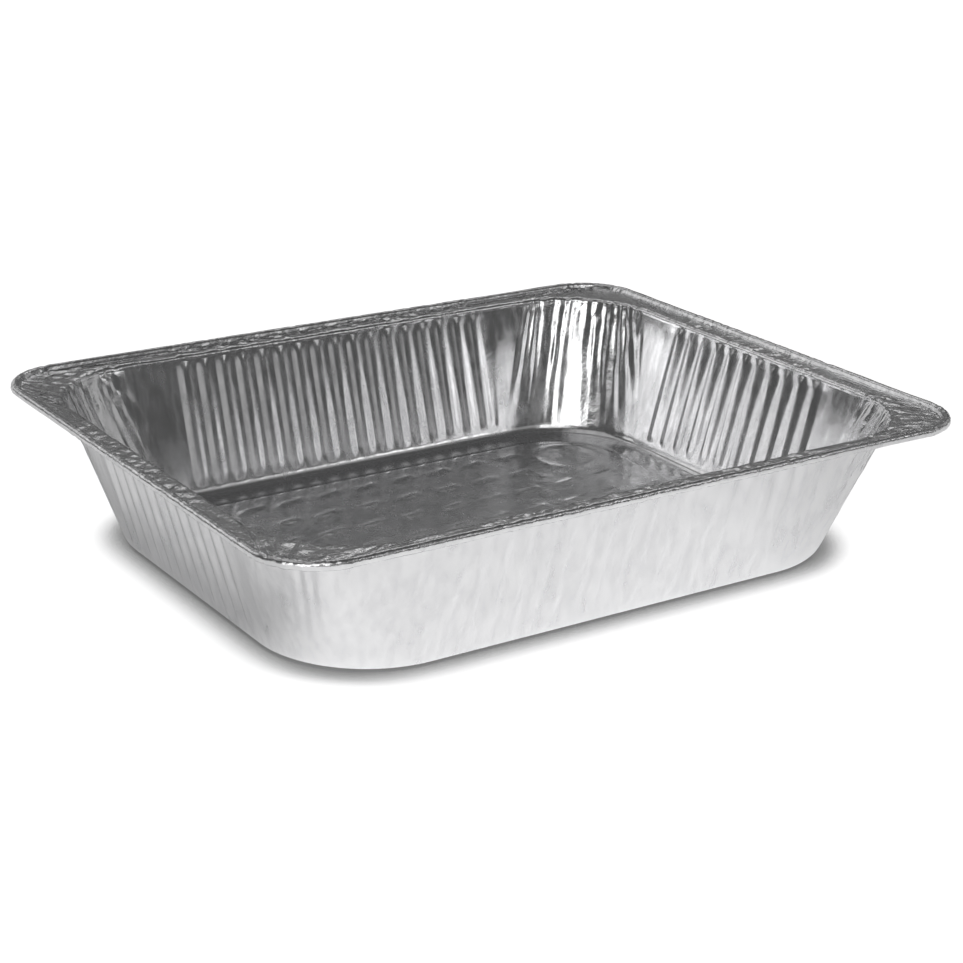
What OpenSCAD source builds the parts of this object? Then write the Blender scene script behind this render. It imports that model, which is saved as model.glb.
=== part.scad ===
// Foil roasting pan: one sheet of aluminium foil, drawn into a fluted tray with a rolled rim.
// The sheet is a closed shell between an upper and a lower face, a foil's thickness apart.
// Rings of points run round the pan at each level, from the end of the rim curl to the floor.

/* [Rim] */
// Length over the rolled rim
rim_l = 324; // [314:1:360]
// Width over the rolled rim
rim_w = 264; // [254:1:300]
// Corner radius of the rolled rim, seen from above
rim_r = 28; // [16:1:40]
// Height of the pan, from the table to the top of the rolled rim
height = 63.5; // [45:0.5:90]
// Outside diameter of the rolled edge
bead_d = 4; // [3:0.1:4.5]
// How far the foil turns round the rolled edge, in degrees
curl_turn = 270; // [200:5:290]
// Depth of the flat flange below the top of the rolled edge
flange_drop = 2.4; // [2:0.1:3]
// Height of the radial wrinkles in the corners of the flange
wrinkle_h = 0.35; // [0:0.05:0.6]

/* [Well] */
// Thickness of the foil
foil = 0.15; // [0.1:0.05:0.4]
// Length of the mouth, between the walls at the flange
mouth_l = 298; // [280:1:306]
// Width of the mouth, between the walls at the flange
mouth_w = 240; // [222:1:246]
// Corner radius of the mouth
mouth_r = 43; // [30:1:52]
// Length of the base, where the walls would meet the table
base_l = 264; // [230:1:272]
// Width of the base, where the walls would meet the table
base_w = 204; // [180:1:212]
// Corner radius of the base
base_r = 48; // [36:1:52]
// Radius between the floor and the walls
base_fillet = 5; // [3:0.5:7]
// Radius between the walls and the flange
lip_fillet = 2; // [1:0.25:3]

/* [Flutes and pleats] */
// Spacing of the upright flutes in the walls
flute_pitch = 9.6; // [7:0.1:16]
// Depth of the flutes, from crest to groove
flute_depth = 1; // [0.4:0.1:2.4]
// Height over which a flute fades out at its ends
flute_fade = 3.5; // [2:0.5:8]
// Number of drawn pleats in each corner
pleats = 9; // [6:1:10]
// Depth of the deepest pleat
pleat_depth = 1.3; // [0:0.1:1.8]

/* [Floor] */
// Width of the flat border on which the pan stands
border_w = 14; // [10:1:20]
// Height of the floor panel above the border
panel_rise = 1.2; // [0.4:0.1:3]
// Width of the slope between the border and the panel
panel_slope = 3; // [1:0.5:6]
// Spacing of the embossed ribs along a row
rib_pitch = 20; // [18:1:30]
// Spacing of the rows of ribs
rib_row = 20; // [14:1:30]
// Length of a rib
rib_l = 14; // [6:1:14]
// Width of a rib
rib_w = 5; // [2:0.5:6]
// Height of a rib
rib_rise = 0.5; // [0.2:0.1:1.5]
// Angle of a rib to its row
rib_slant = 14; // [0:1:20]

/* [Hidden] */

// Outlines seen from above, as half length, half width and corner radius
rim = [rim_l / 2, rim_w / 2, rim_r];
mouth = [mouth_l / 2, mouth_w / 2, mouth_r];
base = [base_l / 2, base_w / 2, base_r];

// Heights of the middle of the foil, half a thickness inside its two faces
half = foil / 2;
floor_z = half;
panel_z = floor_z + panel_rise;
flange_z = height - flange_drop - half;
bead_z = height - bead_d / 2;
curl_r = bead_d / 2 - half;
wall_h = flange_z - floor_z;

// The walls lean out; the fillets at their foot and lip touch them at foot_z and lip_z
draft = (mouth_l - base_l + mouth_w - base_w) / 4;
wall_angle = atan2(wall_h, draft);
foot_run = base_fillet * tan(wall_angle / 2);
lip_run = lip_fillet * tan(wall_angle / 2);
foot_z = floor_z + base_fillet * (1 - cos(wall_angle));
lip_z = flange_z - lip_fillet * (1 - cos(wall_angle));
bead_gap = 0.5;
curl_step = 45;
foot_steps = 3;

// Unit normals of the foil as a share outward and a share upward, towards its upper face
flat = [0, 1];
wall = [-sin(wall_angle), cos(wall_angle)];

// Shares of the pleat depth up the corners, and of the wrinkle height on the lip
pleat_top = 0.9;
pleat_low = 0.4;
pleat_foot = 0.1;
lip_wrinkle = 0.4;

least_r = 1;
function grow(outline, d) = [outline[0] + d, outline[1] + d, max(outline[2] + d, least_r)];
function wall_at(z) = base + (mouth - base) * (z - floor_z) / wall_h;

// What a level holds: its outline, height and normal, its shares of the flute, pleat and wrinkle
// depths, and whether it has the fine stations
OUTLINE = 0;
HEIGHT = 1;
NORMAL = 2;
FLUTE = 3;
PLEAT = 4;
WRINKLE = 5;
FINE = 6;

function level(outline, z, normal, flute = 0, pleat = 0, wrinkle = 0, fine = false) =
    [outline, z, normal, flute, pleat, wrinkle, fine];

// The rolled edge, at an angle round its own centre
function curl_level(a) =
    level(grow(rim, curl_r * cos(a) - bead_d / 2), bead_z + curl_r * sin(a), [cos(a), sin(a)]);

// The fillets, at an angle up from level
function lip_level(a) =
    let (z = flange_z - lip_fillet * (1 - cos(a)),
         run = lip_run - lip_fillet * sin(a) + draft * (flange_z - z) / wall_h)
    level(grow(wall_at(z), run), z, [-sin(a), cos(a)], wrinkle = lip_wrinkle);

function foot_level(a) =
    let (z = floor_z + base_fillet * (1 - cos(a)),
         run = base_fillet * sin(a) - foot_run - draft * (z - floor_z) / wall_h)
    level(grow(wall_at(z), run), z, [-sin(a), cos(a)]);

function wall_level(z, flute, pleat) = level(wall_at(z), z, wall, flute, pleat, fine = true);

levels = concat(
    [curl_level(180 - curl_turn)],
    [for (i = [ceil(curl_turn / curl_step) - 1 : -1 : 0]) curl_level(180 - curl_step * i)],
    [level(grow(rim, -bead_d - bead_gap), flange_z, flat, wrinkle = 1),
     level(grow(mouth, lip_run), flange_z, flat, wrinkle = 1),
     lip_level(wall_angle / 2),
     wall_level(lip_z, 0, pleat_top),
     wall_level(lip_z - flute_fade, 1, 1),
     wall_level(foot_z + flute_fade, 1, pleat_low),
     wall_level(foot_z, 0, pleat_foot)],
    [for (i = [foot_steps - 1 : -1 : 0]) foot_level(wall_angle * i / foot_steps)],
    [level(grow(base, -border_w), floor_z, flat),
     level(grow(base, -border_w - panel_slope), panel_z, flat)]);

// What a station holds: its place on the round from 0 to 4, the quarter that it is in, its angle
// in a corner or else undef, its shares of the three depths, and its place along a side.
// Stations run anticlockwise from the right-hand end of the back right corner.
TURN = 0;
QUARTER = 1;
ANGLE = 2;
ALONG = 6;

long_flutes = floor((base_l - 2 * base_r) / flute_pitch);
short_flutes = floor((base_w - 2 * base_r) / flute_pitch);
flute_wave = [-1, 1, 1, -1];
per_flute = len(flute_wave);
folds = 2 * pleats;
least_pleat = 0.35;
pleat_drift = 22;
golden_angle = 137.5;

// Strides that keep neighbouring pleats, and the pleats of neighbouring corners, unlike each other
pleat_stride = 3;
corner_drift_stride = 5;
corner_depth_stride = 7;

function flutes(q) = q % 2 == 0 ? long_flutes : short_flutes;

// A value from 0 to 1 that looks uneven from one whole number to the next
function uneven(n) = 0.5 + 0.5 * sin(n * golden_angle);

// Every odd station of a corner is the bottom of a pleat; flange wrinkles go up and down between
function corner_station(q, i) =
    let (in_pleat = i % 2 == 1,
         drift = in_pleat ? pleat_drift * (uneven(i + corner_drift_stride * q) - 0.5) / folds : 0,
         depth = uneven(pleat_stride * i + corner_depth_stride * q),
         pleat = in_pleat ? least_pleat + (1 - least_pleat) * depth : 0,
         wrinkle = in_pleat || i == 0 || i == folds ? 0 : (i / 2 % 2 == 1 ? 1 : -1))
    [q + i / folds / 2, q, 90 * (i + drift) / folds, 0, pleat, wrinkle, 0];

function side_station(q, i) =
    let (last = per_flute * flutes(q) + 1,
         run = flutes(q) * flute_pitch / 2,
         along = min(max(flute_pitch * (i - 0.5) / per_flute, 0), 2 * run) - run,
         flute = i == 0 || i == last ? 0 : flute_wave[(i - 1) % per_flute])
    [q + 0.5 + (i + 0.5) / (last + 1) / 2, q, undef, flute, 0, 0, along];

function mid_station(q) = [q + 0.75, q, undef, 0, 0, 0, 0];

fine_stations = [for (q = [0 : 3]) each concat(
    [for (i = [0 : folds]) corner_station(q, i)],
    [for (i = [0 : per_flute * flutes(q) + 1]) side_station(q, i)])];

coarse_stations = [for (q = [0 : 3]) each concat(
    [for (i = [0 : 2 : folds]) corner_station(q, i)],
    [side_station(q, 0), mid_station(q), side_station(q, per_flute * flutes(q) + 1)])];

function stations(lv) = lv[FINE] ? fine_stations : coarse_stations;

// A point of the foil at a station and a level, on its upper face for side 1, lower for side -1
function place(st, lv, side) =
    let (q = st[QUARTER], in_corner = !is_undef(st[ANGLE]), a = 90 * q + (in_corner ? st[ANGLE] : 90),
         out = [cos(a), sin(a)], left = [-sin(a), cos(a)], o = lv[OUTLINE],
         hub = [(q == 0 || q == 3 ? 1 : -1) * (o[0] - o[2]), (q < 2 ? 1 : -1) * (o[1] - o[2])],
         spot = in_corner ? hub + out * o[2] : out * (q % 2 == 0 ? o[1] : o[0]) + left * st[ALONG],
         folded = lv[FLUTE] * st[FLUTE] * flute_depth / 2 + lv[PLEAT] * st[PLEAT] * pleat_depth,
         lean = lv[NORMAL] * (side * half + folded),
         flat_spot = spot + out * lean[0])
    [flat_spot[0], flat_spot[1], lv[HEIGHT] + lean[1] + lv[WRINKLE] * st[WRINKLE] * wrinkle_h];

// Embossed field: lines of nodes half a rib pitch apart, drawn in where the panel is rounded
last_level = len(levels) - 1;
field_margin = 2;
field = grow(levels[last_level][OUTLINE], -field_margin);
rib_cols = floor(2 * field[0] / rib_pitch);
rib_rows = floor(2 * field[1] / rib_row);
line_nodes = 2 * rib_cols;

function reach(y) =
    let (over = max(abs(y) - (field[1] - field[2]), 0))
    field[0] - field[2] + sqrt(max(field[2] * field[2] - over * over, 0));

function node_point(i, j, side) =
    let (y = field[1] * (2 * j / rib_rows - 1))
    [reach(y) * (2 * i / line_nodes - 1), y, panel_z + side * half];

// A rib's outline and then its crest, as shares of its length, width and height
rib_points = [
    [-0.5, 0, 0], [-0.2, -0.5, 0], [0.2, -0.5, 0], [0.5, 0, 0], [0.2, 0.5, 0], [-0.2, 0.5, 0],
    [-0.25, 0, 1], [0.25, 0, 1]];
rib_sides = 6;
rib_top = [[0, 6, 1], [1, 6, 7], [1, 7, 2], [2, 7, 3], [3, 7, 4], [4, 7, 6], [4, 6, 5], [5, 6, 0]];

function rib_point(i, j, p, side) =
    let (x = p[0] * rib_l, y = p[1] * rib_w, s = sin(rib_slant), c = cos(rib_slant))
    (node_point(i, j, side) + node_point(i, j + 1, side)) / 2 + [x * c - y * s, x * s + y * c, p[2] * rib_rise];

// Cells of the field, each as the node at the middle of its front edge and its row.
// Every second row is shifted by half a pitch.
cells = [for (j = [0 : rib_rows - 1], i = [1 + j % 2 : 2 : line_nodes - 1]) [i, j]];

function face_points(side) = concat(
    [for (lv = levels, st = stations(lv)) place(st, lv, side)],
    [for (j = [0 : rib_rows], i = [0 : line_nodes]) node_point(i, j, side)],
    [for (c = cells, p = rib_points) rib_point(c[0], c[1], p, side)]);

// Numbers of the points in that list
function first(k) = k == 0 ? 0 : first(k - 1) + len(stations(levels[k - 1]));
node_first = first(len(levels));
rib_first = node_first + (line_nodes + 1) * (rib_rows + 1);
face_total = rib_first + len(cells) * len(rib_points);

function node_no(i, j) = node_first + j * (line_nodes + 1) + i;
function ring_no(k) = [for (i = [0 : len(stations(levels[k])) - 1]) first(k) + i];
function ring_turn(k) = [for (st = stations(levels[k])) st[TURN]];

// Triangles between two rings of point numbers, from their places on the round
function closed(list, lap = 0) = concat(list, [list[0] + lap]);

function zip(a, b, ta, tb, i = 0, j = 0, done = []) =
    i == len(a) - 1 && j == len(b) - 1 ? done :
    j == len(b) - 1 || (i < len(a) - 1 && ta[i + 1] <= tb[j + 1]) ?
        zip(a, b, ta, tb, i + 1, j, concat(done, [[a[i], b[j], a[i + 1]]])) :
        zip(a, b, ta, tb, i, j + 1, concat(done, [[a[i], b[j], b[j + 1]]]));

function zip_rings(a, b, ta, tb) = zip(closed(a), closed(b), closed(ta, 4), closed(tb, 4));

// Triangles between two rings with the same stations
function strip(a, b) = [for (i = [0 : len(a) - 1]) let (m = (i + 1) % len(a))
    each [[a[i], b[i], b[m]], [a[i], b[m], a[m]]]];

function band(k) =
    let (a = ring_no(k), b = ring_no(k + 1))
    levels[k][FINE] == levels[k + 1][FINE] ? strip(a, b) : zip_rings(a, b, ring_turn(k), ring_turn(k + 1));

// From the edge of the panel to the edge of the field, both anticlockwise from the right
function bearing(p) = let (t = atan2(p[1] / field[1], p[0] / field[0])) (t < 0 ? t + 360 : t) / 90;
function spun(list, k) = [for (i = [0 : len(list) - 1]) list[(i + k) % len(list)]];

middle_row = ceil(rib_rows / 2);
field_edge = concat(
    [for (j = [middle_row : rib_rows]) [line_nodes, j]],
    [for (i = [line_nodes - 1 : -1 : 0]) [i, rib_rows]],
    [for (j = [rib_rows - 1 : -1 : 0]) [0, j]],
    [for (i = [1 : line_nodes]) [i, 0]],
    [for (j = [1 : 1 : middle_row - 1]) [line_nodes, j]]);
right_middle = len(coarse_stations) - 2;

function field_join() = zip_rings(
    spun(ring_no(last_level), right_middle),
    [for (n = field_edge) node_no(n[0], n[1])],
    [for (st = spun(coarse_stations, right_middle)) bearing(place(st, levels[last_level], 1))],
    [for (n = field_edge) bearing(node_point(n[0], n[1], 1))]);

// Each cell is a rib inside the six nodes round it
function cell_faces(n) =
    let (i = cells[n][0], j = cells[n][1], r = rib_first + n * len(rib_points),
         around = [node_no(i - 1, j), node_no(i, j), node_no(i + 1, j),
                   node_no(i + 1, j + 1), node_no(i, j + 1), node_no(i - 1, j + 1)],
         edge = [for (k = [0 : rib_sides - 1]) r + k])
    concat([for (t = rib_top) [r + t[0], r + t[1], r + t[2]]], strip(around, edge));

// The half cells at the ends of every second row are plain
function end_faces(j) = [for (i = [0, line_nodes - 1]) each
    [[node_no(i, j), node_no(i, j + 1), node_no(i + 1, j + 1)],
     [node_no(i, j), node_no(i + 1, j + 1), node_no(i + 1, j)]]];

upper_face = concat(
    [for (k = [0 : last_level - 1]) each band(k)],
    field_join(),
    [for (n = [0 : len(cells) - 1]) each cell_faces(n)],
    [for (j = [1 : 2 : rib_rows - 1]) each end_faces(j)]);

lower_face = [for (f = upper_face) [f[0], f[2], f[1]] + face_total * [1, 1, 1]];

// The cut edge of the foil, hidden at the end of the curl
cut_edge = strip([for (i = ring_no(0)) i + face_total], ring_no(0));

module pan() {
    color("silver")
        polyhedron(
            points = concat(face_points(1), face_points(-1)),
            faces = concat(upper_face, lower_face, cut_edge),
            convexity = 12);
}

pan();
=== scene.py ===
import math

import bpy
import numpy as np
from mathutils import Matrix, Vector


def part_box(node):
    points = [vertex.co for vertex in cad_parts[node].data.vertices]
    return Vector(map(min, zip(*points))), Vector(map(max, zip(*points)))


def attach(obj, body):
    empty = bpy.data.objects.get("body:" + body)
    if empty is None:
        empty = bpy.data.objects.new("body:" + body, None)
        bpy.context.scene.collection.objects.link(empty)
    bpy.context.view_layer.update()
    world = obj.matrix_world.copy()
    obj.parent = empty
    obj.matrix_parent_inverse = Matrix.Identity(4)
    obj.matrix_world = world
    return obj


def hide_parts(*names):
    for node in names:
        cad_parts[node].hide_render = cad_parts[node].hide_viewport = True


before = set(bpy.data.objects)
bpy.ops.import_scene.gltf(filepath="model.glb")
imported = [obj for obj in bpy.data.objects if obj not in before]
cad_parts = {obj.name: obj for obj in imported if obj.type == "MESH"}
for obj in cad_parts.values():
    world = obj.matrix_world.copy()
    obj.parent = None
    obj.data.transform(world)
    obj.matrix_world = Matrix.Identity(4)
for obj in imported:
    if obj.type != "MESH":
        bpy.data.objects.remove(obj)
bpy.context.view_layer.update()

bl_info = {
    "name": "Foil Roasting Pan",
    "version": (1, 0, 0),
    "blender": (4, 5, 0),
    "location": "View3D > Sidebar > Foil Pan",
    "description": "Builds a deep foil roasting pan and the stage it stands on",
    "category": "Add Mesh",
}

PAN_LOW, PAN_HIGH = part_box("pan")
MM = 0.001
PHOTO_SIDE = 963


# Sizes and finishes that a user would change

def length(name, description, default):
    return bpy.props.FloatProperty(
        name=name, description=description, default=default, unit="LENGTH", subtype="DISTANCE", precision=5)


def share(name, description, default, high=1.0):
    return bpy.props.FloatProperty(name=name, description=description, default=default, min=0.0, max=high)


def colour(name, description, default):
    return bpy.props.FloatVectorProperty(
        name=name, description=description, default=default, subtype="COLOR", size=3, min=0.0, max=1.0)


class FoilPanSizes(bpy.types.PropertyGroup):
    """Sizes of the pan"""
    rim_length: length("Rim length", "Length over the rolled rim", PAN_HIGH.x - PAN_LOW.x)
    rim_width: length("Rim width", "Width over the rolled rim", PAN_HIGH.y - PAN_LOW.y)
    height: length("Height", "Height over the rolled rim", PAN_HIGH.z - PAN_LOW.z)
    rim_corner: length("Rim corner", "Corner radius of the rim", 28 * MM)
    bead: length("Bead", "Outside diameter of the rolled edge", 4 * MM)
    flange_drop: length("Flange drop", "Depth of the flange below the top of the bead", 2.4 * MM)
    foil: length("Foil", "Thickness of the foil", 0.15 * MM)
    mouth_length: length("Mouth length", "Length between the walls at the flange", 298 * MM)
    mouth_width: length("Mouth width", "Width between the walls at the flange", 240 * MM)
    mouth_corner: length("Mouth corner", "Corner radius of the mouth", 43 * MM)
    base_length: length("Base length", "Length of the base", 264 * MM)
    base_width: length("Base width", "Width of the base", 204 * MM)
    base_corner: length("Base corner", "Corner radius of the base", 48 * MM)
    foot_fillet: length("Foot fillet", "Radius between the floor and the walls", 5 * MM)
    lip_fillet: length("Lip fillet", "Radius between the walls and the flange", 2 * MM)
    flute_pitch: length("Flute pitch", "Spacing of the flutes", 9.6 * MM)
    flute_depth: length("Flute depth", "Depth of the flutes from crest to groove", 1.0 * MM)
    flute_fade: length("Flute fade", "Height over which a flute fades out", 3.5 * MM)
    pleat_depth: length("Pleat depth", "Depth of the deepest corner pleat", 1.3 * MM)
    wrinkle: length("Wrinkle height", "Height of the wrinkles in the flange corners", 0.35 * MM)
    crease: length("Crease height", "Height of the handling creases in the foil", 0.16 * MM)
    crumple: length("Crumple height", "Height of the crumples in the flange and the corners", 0.95 * MM)
    border: length("Border", "Width of the flat border of the floor", 14 * MM)
    panel_rise: length("Panel rise", "Height of the floor panel", 1.2 * MM)
    panel_slope: length("Panel slope", "Width of the slope up to the panel", 3 * MM)
    rib_rise: length("Rib rise", "Height of the embossed ribs", 0.7 * MM)
    rib_length: length("Rib length", "Length of an embossed rib", 14 * MM)
    rib_width: length("Rib width", "Width of an embossed rib", 5 * MM)
    seed: bpy.props.IntProperty(
        name="Seed", description="Which uneven pattern of pleats and creases is pressed", default=4)


class FoilPanFinish(bpy.types.PropertyGroup):
    """Finish of the foil"""
    foil_colour: colour("Foil", "Colour of the bright foil", (0.86, 0.86, 0.865))
    dull_colour: colour("Dull foil", "Colour of the handled foil", (0.74, 0.74, 0.75))
    gloss: share("Least roughness", "Roughness of the brightest foil", 0.13)
    dullness: share("Most roughness", "Roughness of the dullest foil", 0.30)
    bump: length("Fine crease height", "Height of the finest creases", 0.3 * MM)


class FoilPanStage(bpy.types.PropertyGroup):
    """Floor, lights and camera"""
    floor_colour: colour("Floor", "Colour of the floor", (0.9, 0.9, 0.9))
    surround: colour("Surround", "Colour of the dim room round the stage", (0.08, 0.08, 0.08))
    mirrored_floor: share("Mirrored floor", "How bright the floor is where the foil mirrors it", 0.53)
    # contact_shade sets how dark the painted shadow on the floor close under the pan is
    contact_shade: share("Contact shade", "How dark the floor is close under the pan", 0.85)
    light_level: share("Light level", "Brightness of all the soft panels together", 1.0, 4.0)
    lens: bpy.props.FloatProperty(
        name="Lens", description="Focal length of the camera in millimetres", default=81.249)


# Node trees

class Wire:
    """A node's output that can be used in sums."""

    def __init__(self, net, socket):
        self.net = net
        self.socket = socket

    def __add__(self, other):
        return self.net.maths("ADD", self, other)

    def __radd__(self, other):
        return self.net.maths("ADD", other, self)

    def __sub__(self, other):
        return self.net.maths("SUBTRACT", self, other)

    def __rsub__(self, other):
        return self.net.maths("SUBTRACT", other, self)

    def __mul__(self, other):
        return self.net.maths("MULTIPLY", self, other)

    def __rmul__(self, other):
        return self.net.maths("MULTIPLY", other, self)

    def __truediv__(self, other):
        return self.net.maths("DIVIDE", self, other)

    def __rtruediv__(self, other):
        return self.net.maths("DIVIDE", other, self)

    def __abs__(self):
        return self.net.maths("ABSOLUTE", self)


class Net:
    """Adds nodes to one tree."""

    def __init__(self, tree):
        self.tree = tree

    def make(self, kind, settings=None, inputs=None):
        """Any node; its settings come first, because they can change its sockets"""
        made = self.tree.nodes.new(kind)
        for name, value in (settings or {}).items():
            setattr(made, name, value)
        for key, value in (inputs or {}).items():
            if isinstance(value, Wire):
                self.tree.links.new(value.socket, made.inputs[key])
            else:
                made.inputs[key].default_value = value
        return made

    def node(self, kind, settings=None, inputs=None, output=0):
        return Wire(self, self.make(kind, settings, inputs).outputs[output])

    def maths(self, operation, *values):
        return self.node("ShaderNodeMath", {"operation": operation}, dict(enumerate(values)))

    def smooth(self, value, low, high):
        return self.node("ShaderNodeMapRange", {"interpolation_type": "SMOOTHSTEP"},
                         {"Value": value, "From Min": low, "From Max": high})

    def blend(self, factor, first, second):
        return self.node("ShaderNodeMix", {"data_type": "RGBA"},
                         {0: factor, 6: (*first, 1), 7: (*second, 1)}, 2)

    def vector(self, x=0.0, y=0.0, z=0.0):
        return self.node("ShaderNodeCombineXYZ", None, {"X": x, "Y": y, "Z": z})

    def parts(self, vector):
        split = self.make("ShaderNodeSeparateXYZ", None, {0: vector})
        return [Wire(self, output) for output in split.outputs]

    def change(self, operation, first, second):
        return self.node("ShaderNodeVectorMath", {"operation": operation}, {0: first, 1: second})

    def reach(self, vector):
        return self.node("ShaderNodeVectorMath", {"operation": "LENGTH"}, {0: vector}, "Value")

    def noise(self, spot, scale, detail=2.0, roughness=0.5, distortion=0.0):
        return self.node("ShaderNodeTexNoise", {"noise_dimensions": "3D"},
                         {"Vector": spot, "Scale": scale, "Detail": detail,
                          "Roughness": roughness, "Distortion": distortion}, "Fac")


# The smooth sheet, before it is pressed

RIM_FLUTE_POINTS = 10
RIM_CORNER_POINTS = 70
FLUTE_POINTS = 7
CORNER_POINTS = 62
GAP_POINTS = 5
CURL_TURN = 270
CURL_POINTS = 9
FLANGE_POINTS = 8
LIP_POINTS = 3
WALL_POINTS = 22
FOOT_POINTS = 4
BORDER_POINTS = 3
SLOPE_POINTS = 2
BEAD_GAP = 0.5 * MM
FIELD_MARGIN = 2 * MM
GRID_STEP = 2.1 * MM
FLUTE_START = 0.4 * MM
EDGE_FADE = 0.06
FIELD_FADE = 0.03

# How deep the pleats are in each corner: back right, back left, front left, front right
CORNER_PLEATS = (1.0, 0.4, 0.6, 0.7)


def smoothstep(value, low, high):
    t = min(max((value - low) / (high - low), 0.0), 1.0)
    return t * t * (3 - 2 * t)


class Sheet:
    """The drawn sheet as rings of points, each with its place along a side or round a corner."""

    def __init__(self, sizes):
        self.sizes = sizes
        half = sizes.foil / 2
        self.rim = (sizes.rim_length / 2, sizes.rim_width / 2, sizes.rim_corner)
        self.mouth = (sizes.mouth_length / 2, sizes.mouth_width / 2, sizes.mouth_corner)
        self.base = (sizes.base_length / 2, sizes.base_width / 2, sizes.base_corner)
        self.floor_z = half
        self.panel_z = half + sizes.panel_rise
        self.flange_z = sizes.height - sizes.flange_drop - half
        self.wall_height = self.flange_z - self.floor_z
        self.draft = (sizes.mouth_length - sizes.base_length + sizes.mouth_width - sizes.base_width) / 4
        self.wall_angle = math.atan2(self.wall_height, self.draft)
        tan_half = math.tan(self.wall_angle / 2)
        self.foot_run = sizes.foot_fillet * tan_half
        self.lip_run = sizes.lip_fillet * tan_half
        self.foot_z = self.floor_z + sizes.foot_fillet * (1 - math.cos(self.wall_angle))
        self.lip_z = self.flange_z - sizes.lip_fillet * (1 - math.cos(self.wall_angle))
        self.points = []
        self.faces = []
        self.marks = {name: [] for name in ("flute_way", "flute", "bend", "pleat", "wrinkle", "crease",
                                            "crumple", "bead", "panel", "cell_x", "cell_y", "reach")}
        self.rim_stations = self.make_stations(RIM_FLUTE_POINTS, RIM_CORNER_POINTS)
        self.wall_stations = self.make_stations(FLUTE_POINTS, CORNER_POINTS)
        self.levels = self.make_levels()

    @staticmethod
    def grow(outline, d):
        return (outline[0] + d, outline[1] + d, max(outline[2] + d, MM))

    def wall_at(self, z):
        t = (z - self.floor_z) / self.wall_height
        return tuple(b + (m - b) * t for b, m in zip(self.base, self.mouth))

    def flutes(self, quarter):
        across = self.base[quarter % 2] - self.base[2]
        return math.floor(2 * across / self.sizes.flute_pitch)

    def make_stations(self, flute_points, corner_points):
        """Places round the sheet, each with how far round it is, from 0 to 4"""
        found = []
        for q in range(4):
            for i in range(corner_points + 1):
                found.append(("corner", q, i / corner_points, (i / corner_points) / 2 + q))
            run = self.flutes(q) * self.sizes.flute_pitch / 2
            count = self.flutes(q) * flute_points
            gap = (self.base[q % 2] - self.base[2] - run) / GAP_POINTS
            row = [("start", -run, i / GAP_POINTS, gap * (i - GAP_POINTS)) for i in range(1, GAP_POINTS)]
            row += [("flute", -run + 2 * run * i / count, 0, 2 * run * i / count) for i in range(count + 1)]
            row += [("end", run, i / GAP_POINTS, 2 * run + gap * i) for i in range(1, GAP_POINTS)]
            for kind, way, t, place in row:
                from_middle = (place - run) / (run + gap * GAP_POINTS)
                found.append((kind, q, (way, t), q + 0.75 + 0.25 * from_middle))
        return found

    def make_levels(self):
        s = self.sizes
        curl_r = (s.bead - s.foil) / 2
        bead_z = s.height - s.bead / 2
        levels = []
        for i in range(CURL_POINTS, -1, -1):
            a = math.radians(180 - CURL_TURN * i / CURL_POINTS)
            levels.append((self.grow(self.rim, curl_r * math.cos(a) - s.bead / 2),
                           bead_z + curl_r * math.sin(a), dict(bead=1.0)))
        outer = self.grow(self.rim, -s.bead - BEAD_GAP)
        inner = self.grow(self.mouth, self.lip_run)
        for i in range(FLANGE_POINTS + 1):
            t = i / FLANGE_POINTS
            levels.append((tuple(a + (b - a) * t for a, b in zip(outer, inner)), self.flange_z,
                           dict(wrinkle=1.0 - 0.4 * t, crease=1.6, crumple=0.9, corner_crumple=1.0)))
        for i in range(1, LIP_POINTS + 1):
            a = self.wall_angle * i / LIP_POINTS
            z = self.flange_z - s.lip_fillet * (1 - math.cos(a))
            run = self.lip_run - s.lip_fillet * math.sin(a)
            run += self.draft * (self.flange_z - z) / self.wall_height
            levels.append((self.grow(self.wall_at(z), run), z,
                           dict(wrinkle=0.6 * (1 - i / LIP_POINTS), pleat=0.8 * i / LIP_POINTS, crease=0.8,
                                crumple=0.3, corner_crumple=0.7)))
        for i in range(1, WALL_POINTS + 1):
            t = (1 - math.cos(math.pi * i / WALL_POINTS)) / 2 * 0.55 + i / WALL_POINTS * 0.45
            z = self.lip_z + (self.foot_z - self.lip_z) * t
            up = (z - self.foot_z) / (self.lip_z - self.foot_z)
            flute = smoothstep(self.lip_z - FLUTE_START - z, 0, s.flute_fade)
            flute *= smoothstep(z - self.foot_z - FLUTE_START, 0, s.flute_fade)
            pleat = 0.1 + 0.9 * smoothstep(up, -0.05, 0.75)
            crumple = 0.06 + 0.75 * smoothstep(up, 0.35, 0.85)
            levels.append((self.wall_at(z), z,
                           dict(flute=flute, pleat=pleat, crease=0.5, corner_crumple=crumple)))
        for i in range(FOOT_POINTS - 1, -1, -1):
            a = self.wall_angle * i / FOOT_POINTS
            z = self.floor_z + s.foot_fillet * (1 - math.cos(a))
            run = s.foot_fillet * math.sin(a) - self.foot_run
            run -= self.draft * (z - self.floor_z) / self.wall_height
            levels.append((self.grow(self.wall_at(z), run), z, dict(pleat=0.1 * i / FOOT_POINTS)))
        for i in range(1, BORDER_POINTS + 1):
            d = self.foot_run + (s.border - self.foot_run) * i / BORDER_POINTS
            levels.append((self.grow(self.base, -d), self.floor_z, {}))
        for i in range(1, SLOPE_POINTS + 1):
            t = i / SLOPE_POINTS
            levels.append((self.grow(self.base, -s.border - s.panel_slope * t),
                           self.floor_z + s.panel_rise * smoothstep(t, 0, 1), {}))
        return levels

    def add(self, x, y, z, **marks):
        self.points.append((x, y, z))
        for name, values in self.marks.items():
            values.append(marks.get(name, 0.0))
        return len(self.points) - 1

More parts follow.
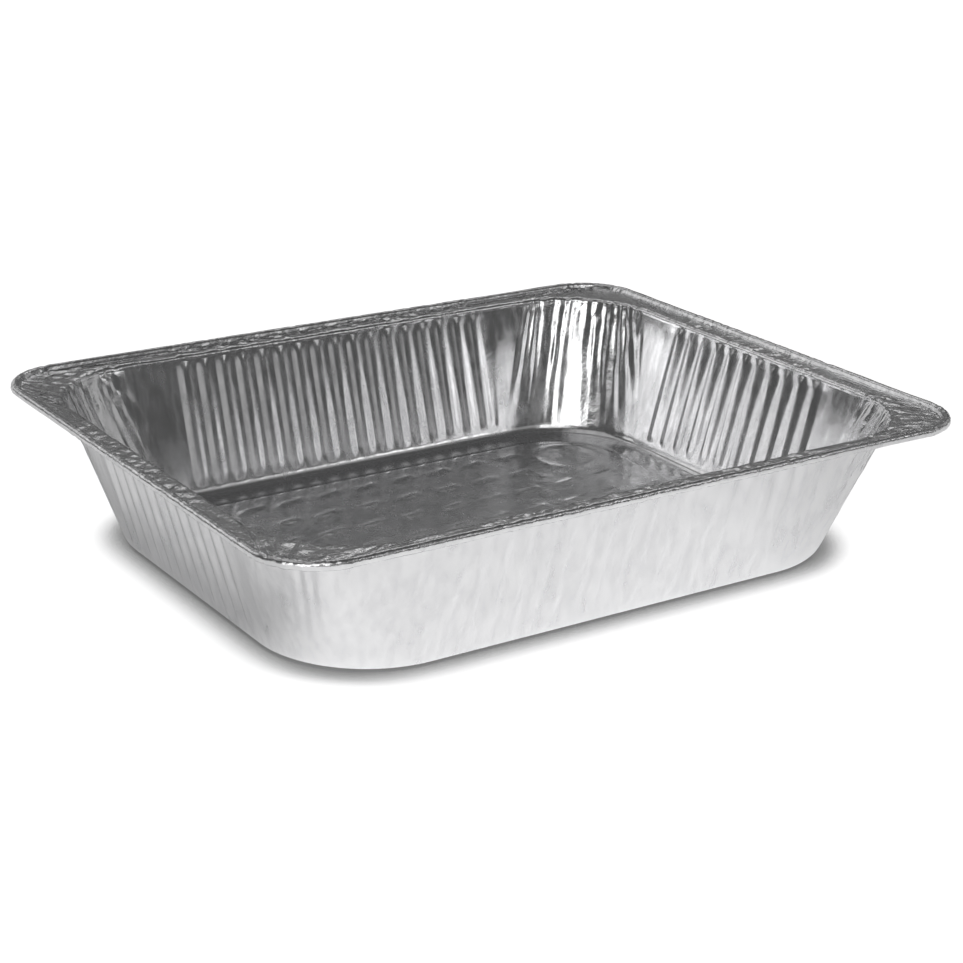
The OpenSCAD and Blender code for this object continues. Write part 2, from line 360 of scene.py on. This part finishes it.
    def ring(self, outline, z, shares, stations):
        """One level of the sheet, anticlockwise from the right-hand end of the back right corner"""
        numbers = []
        for kind, q, place, _ in stations:
            a = math.pi / 2 * (q + (place if kind == "corner" else 1))
            out = (math.cos(a), math.sin(a))
            left = (-out[1], out[0])
            hub = ((1 if q in (0, 3) else -1) * (outline[0] - outline[2]),
                   (1 if q < 2 else -1) * (outline[1] - outline[2]))
            marks = dict(crease=shares.get("crease", 0.0), crumple=shares.get("crumple", 0.0),
                         bead=shares.get("bead", 0.0))
            if kind == "corner":
                x, y = hub[0] + out[0] * outline[2], hub[1] + out[1] * outline[2]
                edge = smoothstep(min(place, 1 - place), 0, EDGE_FADE)
                plain = shares.get("crumple", 0.0)
                marks.update(bend=q + place, pleat=edge * shares.get("pleat", 0.0) * CORNER_PLEATS[q],
                             wrinkle=edge * shares.get("wrinkle", 0.0),
                             crumple=plain + edge * (shares.get("corner_crumple", 0.0) - plain))
            else:
                way, t = place
                straight = outline[q % 2] - outline[2]
                run = abs(way)
                if kind == "start":
                    way = -straight + (straight - run) * t
                if kind == "end":
                    way = run + (straight - run) * t
                reach = outline[1] if q % 2 == 0 else outline[0]
                x, y = out[0] * reach + left[0] * way, out[1] * reach + left[1] * way
                in_flutes = 1.0 if kind == "flute" else 0.0
                marks.update(flute=in_flutes * shares.get("flute", 0.0),
                             flute_way=way + self.flutes(q) * self.sizes.flute_pitch / 2)
            numbers.append(self.add(x, y, z, **marks))
        return numbers

    def strip(self, a, b):
        for i in range(len(a)):
            m = (i + 1) % len(a)
            self.faces.append((a[i], a[m], b[m], b[i]))

    def zip_rings(self, a, b, turn_a, turn_b, lap):
        """Triangles between two rings whose points don't match"""
        a, b = a + a[:1], b + b[:1]
        turn_a, turn_b = turn_a + [turn_a[0] + lap], turn_b + [turn_b[0] + lap]
        i = j = 0
        while i < len(a) - 1 or j < len(b) - 1:
            if j == len(b) - 1 or (i < len(a) - 1 and turn_a[i + 1] <= turn_b[j + 1]):
                self.faces.append((a[i], a[i + 1], b[j]))
                i += 1
            else:
                self.faces.append((a[i], b[j + 1], b[j]))
                j += 1

    def field(self):
        """Outline of the embossed part of the floor"""
        return self.grow(self.base, -self.sizes.border - self.sizes.panel_slope - FIELD_MARGIN)

    def panel(self, edge):
        """The embossed panel as a grid that is drawn in where the panel is rounded"""
        field = self.field()
        columns = 2 * round(field[0] / GRID_STEP)
        rows = 2 * round(field[1] / GRID_STEP)
        grid = []
        for j in range(rows + 1):
            y = field[1] * (2 * j / rows - 1)
            over = max(abs(y) - (field[1] - field[2]), 0)
            reach = field[0] - field[2] + math.sqrt(max(field[2] ** 2 - over ** 2, 0))
            line = []
            for i in range(columns + 1):
                x = 2 * i / columns - 1
                rim_fade = smoothstep(min(1 - abs(x), 1 - abs(2 * j / rows - 1)), 0, FIELD_FADE)
                line.append(self.add(reach * x, y, self.panel_z, panel=rim_fade, crease=1.2 * rim_fade,
                                     cell_x=x, cell_y=2 * j / rows - 1, reach=reach))
            grid.append(line)
        for j in range(rows):
            for i in range(columns):
                self.faces.append((grid[j][i], grid[j][i + 1], grid[j + 1][i + 1], grid[j + 1][i]))
        middle = rows // 2
        loop = [grid[j][columns] for j in range(middle, rows + 1)]
        loop += [grid[rows][i] for i in range(columns - 1, -1, -1)]
        loop += [grid[j][0] for j in range(rows - 1, -1, -1)]
        loop += [grid[0][i] for i in range(1, columns + 1)]
        loop += [grid[j][columns] for j in range(1, middle)]

        def bearing(number):
            x, y, _ = self.points[number]
            turn = math.atan2(y / field[1], x / field[0]) / (2 * math.pi)
            return turn if turn > -1e-9 else turn + 1

        start = min(range(len(edge)), key=lambda i: bearing(edge[i]))
        edge = edge[start:] + edge[:start]
        self.zip_rings(edge, loop, [bearing(n) for n in edge], [bearing(n) for n in loop], 1)

    def build(self):
        rim_levels = CURL_POINTS + 1 + FLANGE_POINTS
        rim = [self.ring(*level, self.rim_stations) for level in self.levels[:rim_levels]]
        walls = [self.ring(*level, self.wall_stations) for level in self.levels[rim_levels:]]
        for rings in (rim, walls):
            for a, b in zip(rings, rings[1:]):
                self.strip(a, b)
        rim_turns = [station[3] for station in self.rim_stations]
        wall_turns = [station[3] for station in self.wall_stations]
        self.zip_rings(rim[-1], walls[0], rim_turns, wall_turns, 4)
        self.panel(walls[-1])
        mesh = bpy.data.meshes.new("pan_foil")
        mesh.from_pydata(self.points, [], self.faces)
        for name, values in self.marks.items():
            mark = mesh.attributes.new(name, "FLOAT", "POINT")
            mark.data.foreach_set("value", np.array(values, np.float32))
        mesh.polygons.foreach_set("use_smooth", [True] * len(mesh.polygons))
        mesh.validate()
        return mesh


# The press: flutes, pleats, wrinkles, creases and the embossed field

PRESS_SIZES = ("Flute Pitch", "Flute Depth", "Pleat Depth", "Wrinkle Height", "Crease Height",
               "Crumple Height", "Rib Rise", "Rib Length", "Rib Width", "Rib Columns", "Rib Rows",
               "Row Height")
SEED_STEP = 7.31
PLEATS = 12
PLEAT_WANDER = 2.6
SMALL_FOLDS = 1.5
RADIAL_WRINKLES = 17.0
WRINKLE_GAIN = 3.2
RIB_PITCH = 20 * MM
RIB_ROW = 20 * MM
RIB_SLANT = 14
FLANK_SHARE = 0.8
RING_SPOT = (92 * MM, 60 * MM)
RING_RADIUS = 15 * MM
RING_WIDTH = 5 * MM
RING_SHARE = 0.6

# How closely each kind of crease is packed; a larger number is finer
BROAD_CREASES = 38.0
FINE_CREASES = 150.0
SHARP_FOLDS = 190.0
CRUMPLES = 270.0

# Place of each small dent, then half its width, half its height, and its depth
DENTS = tuple(tuple(value * MM for value in dent) for dent in (
    (-128, -105, 44, 1.8, 6, 0.9),
    (-122, -97, 21, 1.8, 6, 0.8),
    (-114, -109, 35, 1.6, 5, 0.8),
    (-135, -66, 14, 2.2, 6, 1.0),
    (110, -108, 30, 1.8, 4, 0.8)))


def press_tree():
    tree = bpy.data.node_groups.new("press_foil", "GeometryNodeTree")
    tree.interface.new_socket("Sheet", in_out="INPUT", socket_type="NodeSocketGeometry")
    for name in PRESS_SIZES:
        tree.interface.new_socket(name, in_out="INPUT", socket_type="NodeSocketFloat")
    tree.interface.new_socket("Seed", in_out="INPUT", socket_type="NodeSocketInt")
    tree.interface.new_socket("Foil", in_out="INPUT", socket_type="NodeSocketMaterial")
    tree.interface.new_socket("Pan", in_out="OUTPUT", socket_type="NodeSocketGeometry")
    net = Net(tree)
    given = net.make("NodeGroupInput")

    def size(name):
        return Wire(net, given.outputs[name])

    def mark(name):
        return net.node("GeometryNodeInputNamedAttribute", {"data_type": "FLOAT"}, {"Name": name},
                        "Attribute")

    spot = net.node("GeometryNodeInputPosition")
    height = net.parts(spot)[2]
    seed = size("Seed") * SEED_STEP

    # Flutes: a wave along each side, with its crests at mid-pitch
    wave = net.maths("COSINE", mark("flute_way") / size("Flute Pitch") * (2 * math.pi))
    flank = net.maths("ARCSINE", wave * -FLANK_SHARE) / math.asin(FLANK_SHARE)
    press = flank * size("Flute Depth") * mark("flute") * 0.5

    # Corner pleats: folds that wander a little on their way down
    bend = mark("bend")
    wander = net.noise(net.vector(bend * 5.0, height * 14.0, seed), 1.0, 2.0)
    fold_way = bend * PLEATS + (wander - 0.5) * PLEAT_WANDER
    fold_depth = net.noise(net.vector(bend * PLEATS * 0.8, height * 9.0, seed + 3.0), 1.0, 1.0)
    fold_depth = net.smooth(fold_depth, 0.3, 0.66)
    fold = 1.0 - abs((net.maths("FRACT", fold_way) - 0.5) * 2.0)
    folded = fold * (fold_depth * 0.8 + 0.2)
    small = net.noise(net.vector(bend * 30.0, height * 40.0, seed + 9.0), 1.0, 2.0) - 0.5
    press = press + (folded + small * SMALL_FOLDS) * size("Pleat Depth") * mark("pleat")

    # Creases from handling, and radial wrinkles in the corners of the flange
    broad_crease = net.noise(spot, BROAD_CREASES, 3.0, 0.55) - 0.5
    fine_crease = net.noise(spot, FINE_CREASES, 2.0, 0.5) - 0.5
    uneven = (broad_crease * 1.6 + fine_crease * 0.7) * size("Crease Height") * 2.0
    sharp_fold = 0.1 - abs(net.noise(spot, SHARP_FOLDS, 1.0, 0.5) - 0.5)
    crumpled = net.noise(spot, CRUMPLES, 2.0, 0.6) - 0.5 + sharp_fold * 0.9
    crumpled = crumpled * size("Crumple Height") * 2.0
    pulled_in = net.maths("MINIMUM", crumpled * 0.6 - size("Crumple Height") * 0.1, 0.0)
    press = press + uneven * mark("crease") + crumpled * mark("crumple") + pulled_in * mark("bead")
    radial = net.noise(net.vector(bend * RADIAL_WRINKLES, seed, 0.0), 1.0, 2.0) - 0.5
    lift = radial * WRINKLE_GAIN * size("Wrinkle Height") * mark("wrinkle")

    # Small dents in the outside
    for x, y, z, wide, high, deep in DENTS:
        away = net.change("SUBTRACT", spot, (x, y, z))
        away = net.change("DIVIDE", away, (wide, wide, high))
        press = press + (1.0 - net.smooth(net.reach(away), 0.0, 1.0)) * deep

    # A plain ring in the floor, and embossed ribs in staggered rows round it
    from_ring = net.reach(net.change("SUBTRACT", spot, net.vector(*RING_SPOT, height)))
    ring = 1.0 - net.smooth(abs(from_ring - RING_RADIUS), 0.0, RING_WIDTH / 2)
    outside_ring = net.smooth(from_ring, RING_RADIUS, RING_RADIUS + RING_WIDTH)
    across = (mark("cell_x") + 1.0) * size("Rib Columns")
    rows = (mark("cell_y") + 1.0) * size("Rib Rows") * 0.5
    row = net.maths("FLOOR", rows)
    odd = net.maths("MODULO", row, 2.0)
    shifted = (across - 1.0 - odd) * 0.5
    column = net.maths("ROUND", shifted)
    x = (shifted - column) * 2.0 * mark("reach") / size("Rib Columns")
    y = (rows - row - 0.5) * size("Row Height")
    c, s = math.cos(math.radians(RIB_SLANT)), math.sin(math.radians(RIB_SLANT))
    along = x * c + y * s
    aside = y * c - x * s
    far = net.maths("MAXIMUM", abs(along) - (size("Rib Length") - size("Rib Width")) * 0.5, 0.0)
    distance = net.maths("SQRT", far * far + aside * aside)
    crown = 1.0 - net.smooth(distance / (size("Rib Width") * 0.5), 0.0, 1.0)
    inside = net.maths("GREATER_THAN", column, -0.5) * net.maths(
        "LESS_THAN", column, size("Rib Columns") - odd - 0.5)
    embossed = crown * inside * outside_ring + ring * RING_SHARE
    lift = lift + embossed * size("Rib Rise") * mark("panel")

    normal = net.node("GeometryNodeInputNormal")
    move = net.node("ShaderNodeVectorMath", {"operation": "SCALE"}, {0: normal, "Scale": press})
    move = net.change("ADD", move, net.vector(0.0, 0.0, lift))
    pressed = net.node("GeometryNodeSetPosition", None, {"Geometry": size("Sheet"), "Offset": move})
    whole = net.node("GeometryNodeRealizeInstances", None, {"Geometry": pressed})
    dressed = net.node("GeometryNodeSetMaterial", None, {"Geometry": whole, "Material": size("Foil")})
    net.make("NodeGroupOutput", None, {"Pan": dressed})
    return tree


# The foil's finish: drawn streaks, worn patches, and fine creases in the flange and the corner tops

WORN_PATCHES = 60.0
DRAWN_STREAKS = (300.0, 300.0, 14.0)
FINEST_CREASES = 520.0
SMALL_CREASES = 210.0
FLANGE_CREASES = (2.6 * MM, 0.6 * MM)
CORNER_CREASES = (14 * MM, 41 * MM)
PLAIN_CREASES = 0.08


def new_material(name):
    material = bpy.data.materials.new(name)
    material.use_nodes = True
    material.node_tree.nodes.clear()
    return material, Net(material.node_tree)


def foil_material(sizes, finish):
    material, net = new_material("bright_foil")
    spot = net.node("ShaderNodeTexCoord", None, None, "Object")
    x, y, z = net.parts(spot)
    handled = net.smooth(net.noise(spot, WORN_PATCHES, 4.0, 0.6), 0.35, 0.7)
    streaked = net.node("ShaderNodeMapping", None, {"Vector": spot, "Scale": DRAWN_STREAKS})
    drawn = net.smooth(net.noise(streaked, 1.0, 4.0), 0.3, 0.7)
    worn = handled * 0.35 + drawn * 0.65
    tint = net.blend(worn, finish.foil_colour, finish.dull_colour)
    rough = finish.gloss + worn * (finish.dullness - finish.gloss)
    flange_top = sizes.height - sizes.flange_drop
    flange = net.smooth(z, *(flange_top - below for below in FLANGE_CREASES))
    corner_x = sizes.base_length / 2 - sizes.base_corner
    corner_y = sizes.base_width / 2 - sizes.base_corner
    corner = net.smooth(abs(x), *(corner_x + beyond for beyond in CORNER_CREASES))
    corner = corner * net.smooth(abs(y), *(corner_y + beyond for beyond in CORNER_CREASES))
    creased = PLAIN_CREASES + (1 - PLAIN_CREASES) * net.maths("MAXIMUM", flange, corner * 0.3)
    creases = net.noise(spot, FINEST_CREASES, 3.0, 0.6) * 0.8 + net.noise(spot, SMALL_CREASES, 2.0, 0.5)
    bump = net.node("ShaderNodeBump", None,
                    {"Strength": 1.0, "Distance": finish.bump, "Height": creases * creased})
    shine = net.node("ShaderNodeBsdfPrincipled", None,
                     {"Base Color": tint, "Metallic": 1.0, "Roughness": rough, "Normal": bump})
    net.make("ShaderNodeOutputMaterial", None, {"Surface": shine})
    return material


class FOILPAN_OT_pan(bpy.types.Operator):
    """Draw the sheet of foil, press its flutes, pleats and ribs, and give it its thickness"""
    bl_idname = "foil_pan.pan"
    bl_label = "Make Pan"

    def execute(self, context):
        sizes, finish = context.scene.foil_pan_sizes, context.scene.foil_pan_finish
        sheet = Sheet(sizes)
        draft = bpy.data.objects.new("pan_sheet", sheet.build())
        context.collection.objects.link(draft)
        field = sheet.field()
        columns, rows = math.floor(2 * field[0] / RIB_PITCH), math.floor(2 * field[1] / RIB_ROW)
        values = {
            "Flute Pitch": sizes.flute_pitch, "Flute Depth": sizes.flute_depth,
            "Pleat Depth": sizes.pleat_depth, "Wrinkle Height": sizes.wrinkle,
            "Crease Height": sizes.crease, "Crumple Height": sizes.crumple,
            "Rib Rise": sizes.rib_rise, "Rib Length": sizes.rib_length, "Rib Width": sizes.rib_width,
            "Rib Columns": float(columns), "Rib Rows": float(rows), "Row Height": 2 * field[1] / rows,
            "Seed": sizes.seed, "Foil": foil_material(sizes, finish)}
        tree = press_tree()
        press = draft.modifiers.new("press", "NODES")
        press.node_group = tree
        for item in tree.interface.items_tree:
            if item.in_out == "INPUT" and item.name in values:
                press[item.identifier] = values[item.name]
        wall = draft.modifiers.new("thickness", "SOLIDIFY")
        wall.thickness = sizes.foil
        wall.offset = 0.0
        context.view_layer.update()
        graph = context.evaluated_depsgraph_get()
        mesh = bpy.data.meshes.new_from_object(draft.evaluated_get(graph), depsgraph=graph)
        bpy.data.objects.remove(draft)
        for attribute in [a.name for a in mesh.attributes if a.name in sheet.marks]:
            mesh.attributes.remove(mesh.attributes[attribute])
        mesh.name = "pan_foil"
        pan = bpy.data.objects.new("pan_foil", mesh)
        context.collection.objects.link(pan)
        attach(pan, "root")
        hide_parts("pan")
        return {"FINISHED"}


# The stage

CAMERA_AIM = Vector((0.0, 0.0, 0.030))
CAMERA_AZIMUTH = -33.483
CAMERA_ELEVATION = 19.762
CAMERA_DISTANCE = 0.923776
CAMERA_ROLL = 0.913
IMAGE_CENTRE = (473.468, 469.794)
FLOOR_HALF = 8.0
FLOOR_DROP = 0.2 * MM
SHADE_REACH = 16 * MM
SHADE_SAMPLES = 4
PANEL_DISTANCE = 2.2

# The floor that the foil mirrors has a painted shade of the pan: it gets dimmer towards the back left,
# most of all close beside the pan, and a little dimmer to the right
FLOOR_DIM = (15 * MM, 80 * MM)
FLOOR_DIM_SHARE = 0.86
FLOOR_NEAR = (142 * MM, 178 * MM)
FLOOR_NEAR_SHARE = 0.5
FLOOR_RIGHT = (60 * MM, 160 * MM)
FLOOR_RIGHT_SHARE = 0.3

# How brightly the floor glows for the camera close to the pan, and where it has become fully white
FLOOR_GLOW = 0.8
FLOOR_OPEN = (250 * MM, 700 * MM)

# Name, azimuth, elevation, width, height and brightness of each soft panel
PANELS = (
    ("low_left", -61, 13, 1.30, 1.00, 1.05),
    ("high_left", -42, 29, 1.35, 1.00, 1.5),
    ("top_left", -25, 50, 1.15, 0.90, 1.1),
    ("low_front", -6, 11, 0.85, 0.80, 0.33),
    ("front", 12, 40, 1.70, 0.60, 0.2),
    ("rim_light", 41, 29, 0.70, 0.45, 1.3),
    ("high_right", 55, 44, 1.10, 0.40, 0.22),
    ("low_right", 72, 10, 1.10, 0.74, 0.35),
    ("right", 97, 26, 1.10, 0.80, 0.3),
    ("back_right", 144, 22, 1.50, 0.75, 0.09),
    ("high_back_right", 141, 45, 1.40, 0.45, 0.95),
    ("high_back", 178, 46, 0.60, 0.60, 0.6),
    ("low_back", 182, 10, 1.20, 0.76, 0.55),
    ("back_left", -144, 30, 1.15, 1.15, 0.75),
    ("top", -135, 72, 1.60, 1.10, 0.35),
)


def direction(azimuth, elevation):
    """From the pan towards a place round it; azimuth 0 is in front and 90 is on the right"""
    a, e = math.radians(azimuth), math.radians(elevation)
    return Vector((math.sin(a) * math.cos(e), -math.cos(a) * math.cos(e), math.sin(e)))


def add_panel_light(context, name, level, size, azimuth, elevation):
    lamp = bpy.data.lights.new(name, "AREA")
    lamp.shape = "RECTANGLE"
    lamp.size, lamp.size_y = size
    lamp.energy = level * math.pi * size[0] * size[1]
    panel = bpy.data.objects.new(name, lamp)
    back = direction(azimuth, elevation)
    panel.location = back * PANEL_DISTANCE
    panel.rotation_euler = back.to_track_quat("Z", "Y").to_euler()
    context.collection.objects.link(panel)


class FOILPAN_OT_stage(bpy.types.Operator):
    """Set up the floor, the soft lights, the dim surround and the camera"""
    bl_idname = "foil_pan.stage"
    bl_label = "Make Stage"

    def execute(self, context):
        stage = context.scene.foil_pan_stage
        self.floor(context, stage)
        self.surround(context, stage)
        for name, azimuth, elevation, width, height, level in PANELS:
            add_panel_light(context, name, level * stage.light_level, (width, height), azimuth, elevation)
        self.camera(context, stage)
        context.scene.view_settings.view_transform = "Standard"
        return {"FINISHED"}

    def floor(self, context, stage):
        mesh = bpy.data.meshes.new("floor")
        ways = ((-1, -1), (1, -1), (1, 1), (-1, 1))
        mesh.from_pydata([(x * FLOOR_HALF, y * FLOOR_HALF, -FLOOR_DROP) for x, y in ways], [], [(0, 1, 2, 3)])
        floor = bpy.data.objects.new("floor", mesh)
        context.collection.objects.link(floor)
        mesh.materials.append(self.floor_paint(stage))

    def floor_paint(self, stage):
        """White for the camera, with a painted shadow close under the pan, and a painted shade where the foil
        mirrors it
        """
        material, net = new_material("floor_paint")
        seen = net.node("ShaderNodeLightPath", None, None, "Is Camera Ray")
        mirrored = net.maths("MAXIMUM", net.node("ShaderNodeLightPath", None, None, "Is Glossy Ray"),
                             net.node("ShaderNodeLightPath", None, None, "Is Transmission Ray"))
        # Painted shadow of the pan on the floor, for the camera only: base colour and glow darken where the
        # pan hides the sky
        open_sky = net.node("ShaderNodeAmbientOcclusion", {"samples": SHADE_SAMPLES},
                            {"Distance": SHADE_REACH}, "AO")
        shade = net.smooth(open_sky, 0.35, 0.95) * stage.contact_shade + (1 - stage.contact_shade)
        spot = net.node("ShaderNodeTexCoord", None, None, "Object")
        x, y = net.parts(spot)[:2]
        # Painted shade of the pan in the floor that the foil mirrors: dimmer to the back left and beside the
        # pan
        behind = net.smooth((y - x) * math.sqrt(0.5), *FLOOR_DIM)
        beside = net.smooth(0.0 - x, *FLOOR_NEAR)
        lit = 1.0 - behind * (FLOOR_DIM_SHARE - beside * FLOOR_NEAR_SHARE)
        lit = lit - net.smooth(x, *FLOOR_RIGHT) * FLOOR_RIGHT_SHARE
        away = net.smooth(net.reach(spot), *FLOOR_OPEN)
        glow = seen * shade * (FLOOR_GLOW + away * (1.0 - FLOOR_GLOW))
        glow = glow + mirrored * lit * stage.mirrored_floor
        dark = 1.0 - seen * (1.0 - shade)
        paint = net.node("ShaderNodeBsdfPrincipled", None,
                         {"Base Color": net.blend(dark, (0, 0, 0), stage.floor_colour),
                          "Emission Color": net.blend(glow, (0, 0, 0), (1, 1, 1)),
                          "Emission Strength": 1.0, "Roughness": 0.9, "Specular IOR Level": 0.0})
        net.make("ShaderNodeOutputMaterial", None, {"Surface": paint})
        return material

    def surround(self, context, stage):
        world = bpy.data.worlds.new("surround")
        world.use_nodes = True
        net = Net(world.node_tree)
        seen = net.node("ShaderNodeLightPath", None, None, "Is Camera Ray")
        tint = net.blend(seen, stage.surround, (1, 1, 1))
        world.node_tree.links.new(tint.socket, world.node_tree.nodes["Background"].inputs["Color"])
        context.scene.world = world

    def camera(self, context, stage):
        lens = bpy.data.cameras.new("camera")
        lens.lens = stage.lens
        lens.sensor_width = 36
        lens.shift_x = (PHOTO_SIDE / 2 - IMAGE_CENTRE[0]) / PHOTO_SIDE
        lens.shift_y = (IMAGE_CENTRE[1] - PHOTO_SIDE / 2) / PHOTO_SIDE
        lens.clip_start, lens.clip_end = 0.05, 50
        camera = bpy.data.objects.new("camera", lens)
        back = direction(CAMERA_AZIMUTH, CAMERA_ELEVATION)
        right = (-back).cross(Vector((0, 0, 1))).normalized()
        up = right.cross(-back)
        roll = math.radians(CAMERA_ROLL)
        turned_right = right * math.cos(roll) + up * math.sin(roll)
        turned_up = up * math.cos(roll) - right * math.sin(roll)
        turn = Matrix((turned_right, turned_up, back)).transposed()
        camera.matrix_world = Matrix.Translation(CAMERA_AIM + back * CAMERA_DISTANCE) @ turn.to_4x4()
        context.collection.objects.link(camera)
        context.scene.camera = camera


class FOILPAN_PT_sidebar(bpy.types.Panel):
    """Foil pan tools"""
    bl_idname = "FOILPAN_PT_sidebar"
    bl_label = "Foil Pan"
    bl_space_type = "VIEW_3D"
    bl_region_type = "UI"
    bl_category = "Foil Pan"

    def draw(self, context):
        for group_name in GROUPS:
            group = getattr(context.scene, group_name)
            box = self.layout.box()
            for name in group.bl_rna.properties.keys():
                if name not in ("rna_type", "name"):
                    box.prop(group, name)
        self.layout.operator(FOILPAN_OT_pan.bl_idname)
        self.layout.operator(FOILPAN_OT_stage.bl_idname)


CLASSES = (FoilPanSizes, FoilPanFinish, FoilPanStage, FOILPAN_OT_pan, FOILPAN_OT_stage, FOILPAN_PT_sidebar)
GROUPS = {"foil_pan_sizes": FoilPanSizes, "foil_pan_finish": FoilPanFinish, "foil_pan_stage": FoilPanStage}


def register():
    for item in CLASSES:
        bpy.utils.register_class(item)
    for name, group in GROUPS.items():
        setattr(bpy.types.Scene, name, bpy.props.PointerProperty(type=group))


def unregister():
    for name in GROUPS:
        delattr(bpy.types.Scene, name)
    for item in reversed(CLASSES):
        bpy.utils.unregister_class(item)


def main():
    register()
    bpy.ops.foil_pan.stage()
    bpy.ops.foil_pan.pan()


if __name__ == "__main__":
    main()
